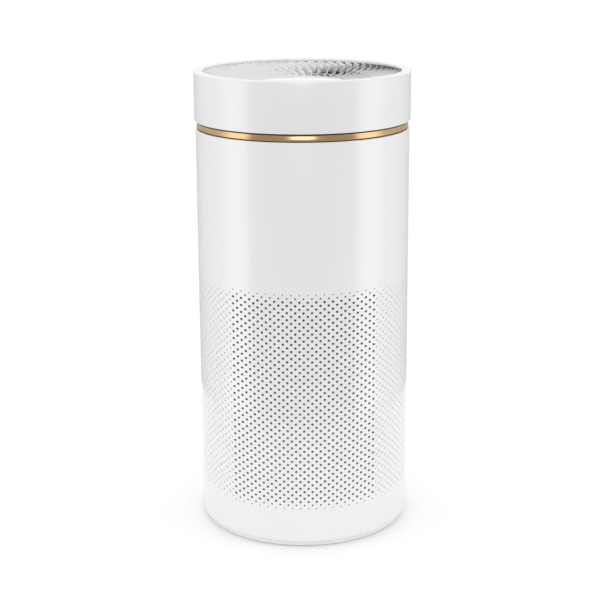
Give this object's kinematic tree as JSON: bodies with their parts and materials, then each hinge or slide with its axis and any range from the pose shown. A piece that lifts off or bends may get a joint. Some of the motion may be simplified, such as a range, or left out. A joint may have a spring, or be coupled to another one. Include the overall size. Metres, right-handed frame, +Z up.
{
  "type": "air purifier",
  "caption": "Tall round tower air purifier: perforated casing, gold accent ring, and a louvred outlet on top round a glossy control disc.",
  "frame": {"origin": "centre of the round footprint, on the floor", "axes": "+Z up along the axis of the tower, -Y towards the front, +X to the right seen from the front"},
  "size_m": [0.214, 0.214, 0.461],
  "materials": {
    "shell_white": "smooth gloss moulding, fine surface",
    "inner_plastic": "matt moulding",
    "dark_plastic": "matt black moulding",
    "accent_gold": "brushed gold tone",
    "panel_gloss": "polished white",
    "light_guide": "milky translucent",
    "circuit_board": "solder mask green",
    "steel": "plated",
    "motor_metal": "satin",
    "copper_winding": "enamelled",
    "magnet": "coated",
    "rubber": "matt",
    "foam": "open-cell foam",
    "prefilter_fabric": "fine dark mesh",
    "filter_paper": "pleated paper",
    "carbon": "granular",
    "lead_jacket": "smooth",
    "plunger_red": "satin"
  },
  "bodies": {
    "housing": {"outer_casing": "shell_white", "joining_ring": "dark_plastic", "joining_screws": "steel", "accent_ring": "accent_gold", "head_ring": "shell_white", "outlet_grille": "shell_white", "touch_panel": "panel_gloss", "light_guide": "light_guide", "control_board": "circuit_board", "control_board_screws": "steel", "filter_deck": "inner_plastic", "deck_screws": "steel", "inlet_guard": "dark_plastic", "fan_duct": "dark_plastic", "duct_screws": "steel", "guide_vanes": "dark_plastic", "motor_case": "motor_metal", "motor_end_cap": "motor_metal", "motor_stator": "copper_winding", "motor_pad": "rubber", "motor_screws": "steel", "lower_bearing": "steel", "upper_bearing": "steel", "prefilter": "prefilter_fabric", "filter_media": "filter_paper", "carbon_layer": "carbon", "filter_top_cap": "dark_plastic", "filter_bottom_cap": "dark_plastic", "filter_gasket": "foam", "power_inlet": "dark_plastic", "inlet_pins": "steel", "power_board": "circuit_board", "board_bracket": "inner_plastic", "board_screws": "steel", "mains_lead": "lead_jacket", "motor_lead": "lead_jacket", "panel_lead": "lead_jacket", "switch_lead": "lead_jacket", "interlock_switch": "dark_plastic", "switch_bracket": "inner_plastic"},
    "impeller": {"impeller": "dark_plastic", "impeller_nut": "steel", "motor_shaft": "steel", "motor_rotor": "magnet"},
    "interlock": {"interlock_plunger": "plunger_red"},
    "base": {"base_cover": "shell_white", "rubber_feet": "rubber"}
  },
  "joints": [
    {"name": "impeller_spin", "type": "hinge", "parent": "housing", "child": "impeller", "pos_m": [0, 0, 0.3], "axis": [0, 0, 1], "continuous": true},
    {"name": "base_twist", "type": "hinge", "parent": "housing", "child": "base", "pos_m": [0, 0, 0.0066], "axis": [0, 0, -1], "range_deg": [0, 20]},
    {"name": "interlock_slide", "type": "slide", "parent": "housing", "child": "interlock", "axis": [0, 0, -1], "range_m": [0, 0.0016]}
  ],
  "couplings": [
    {"joint": "interlock_slide", "follows": "base_twist", "m_per_rad": 0.0042972}
  ]
}
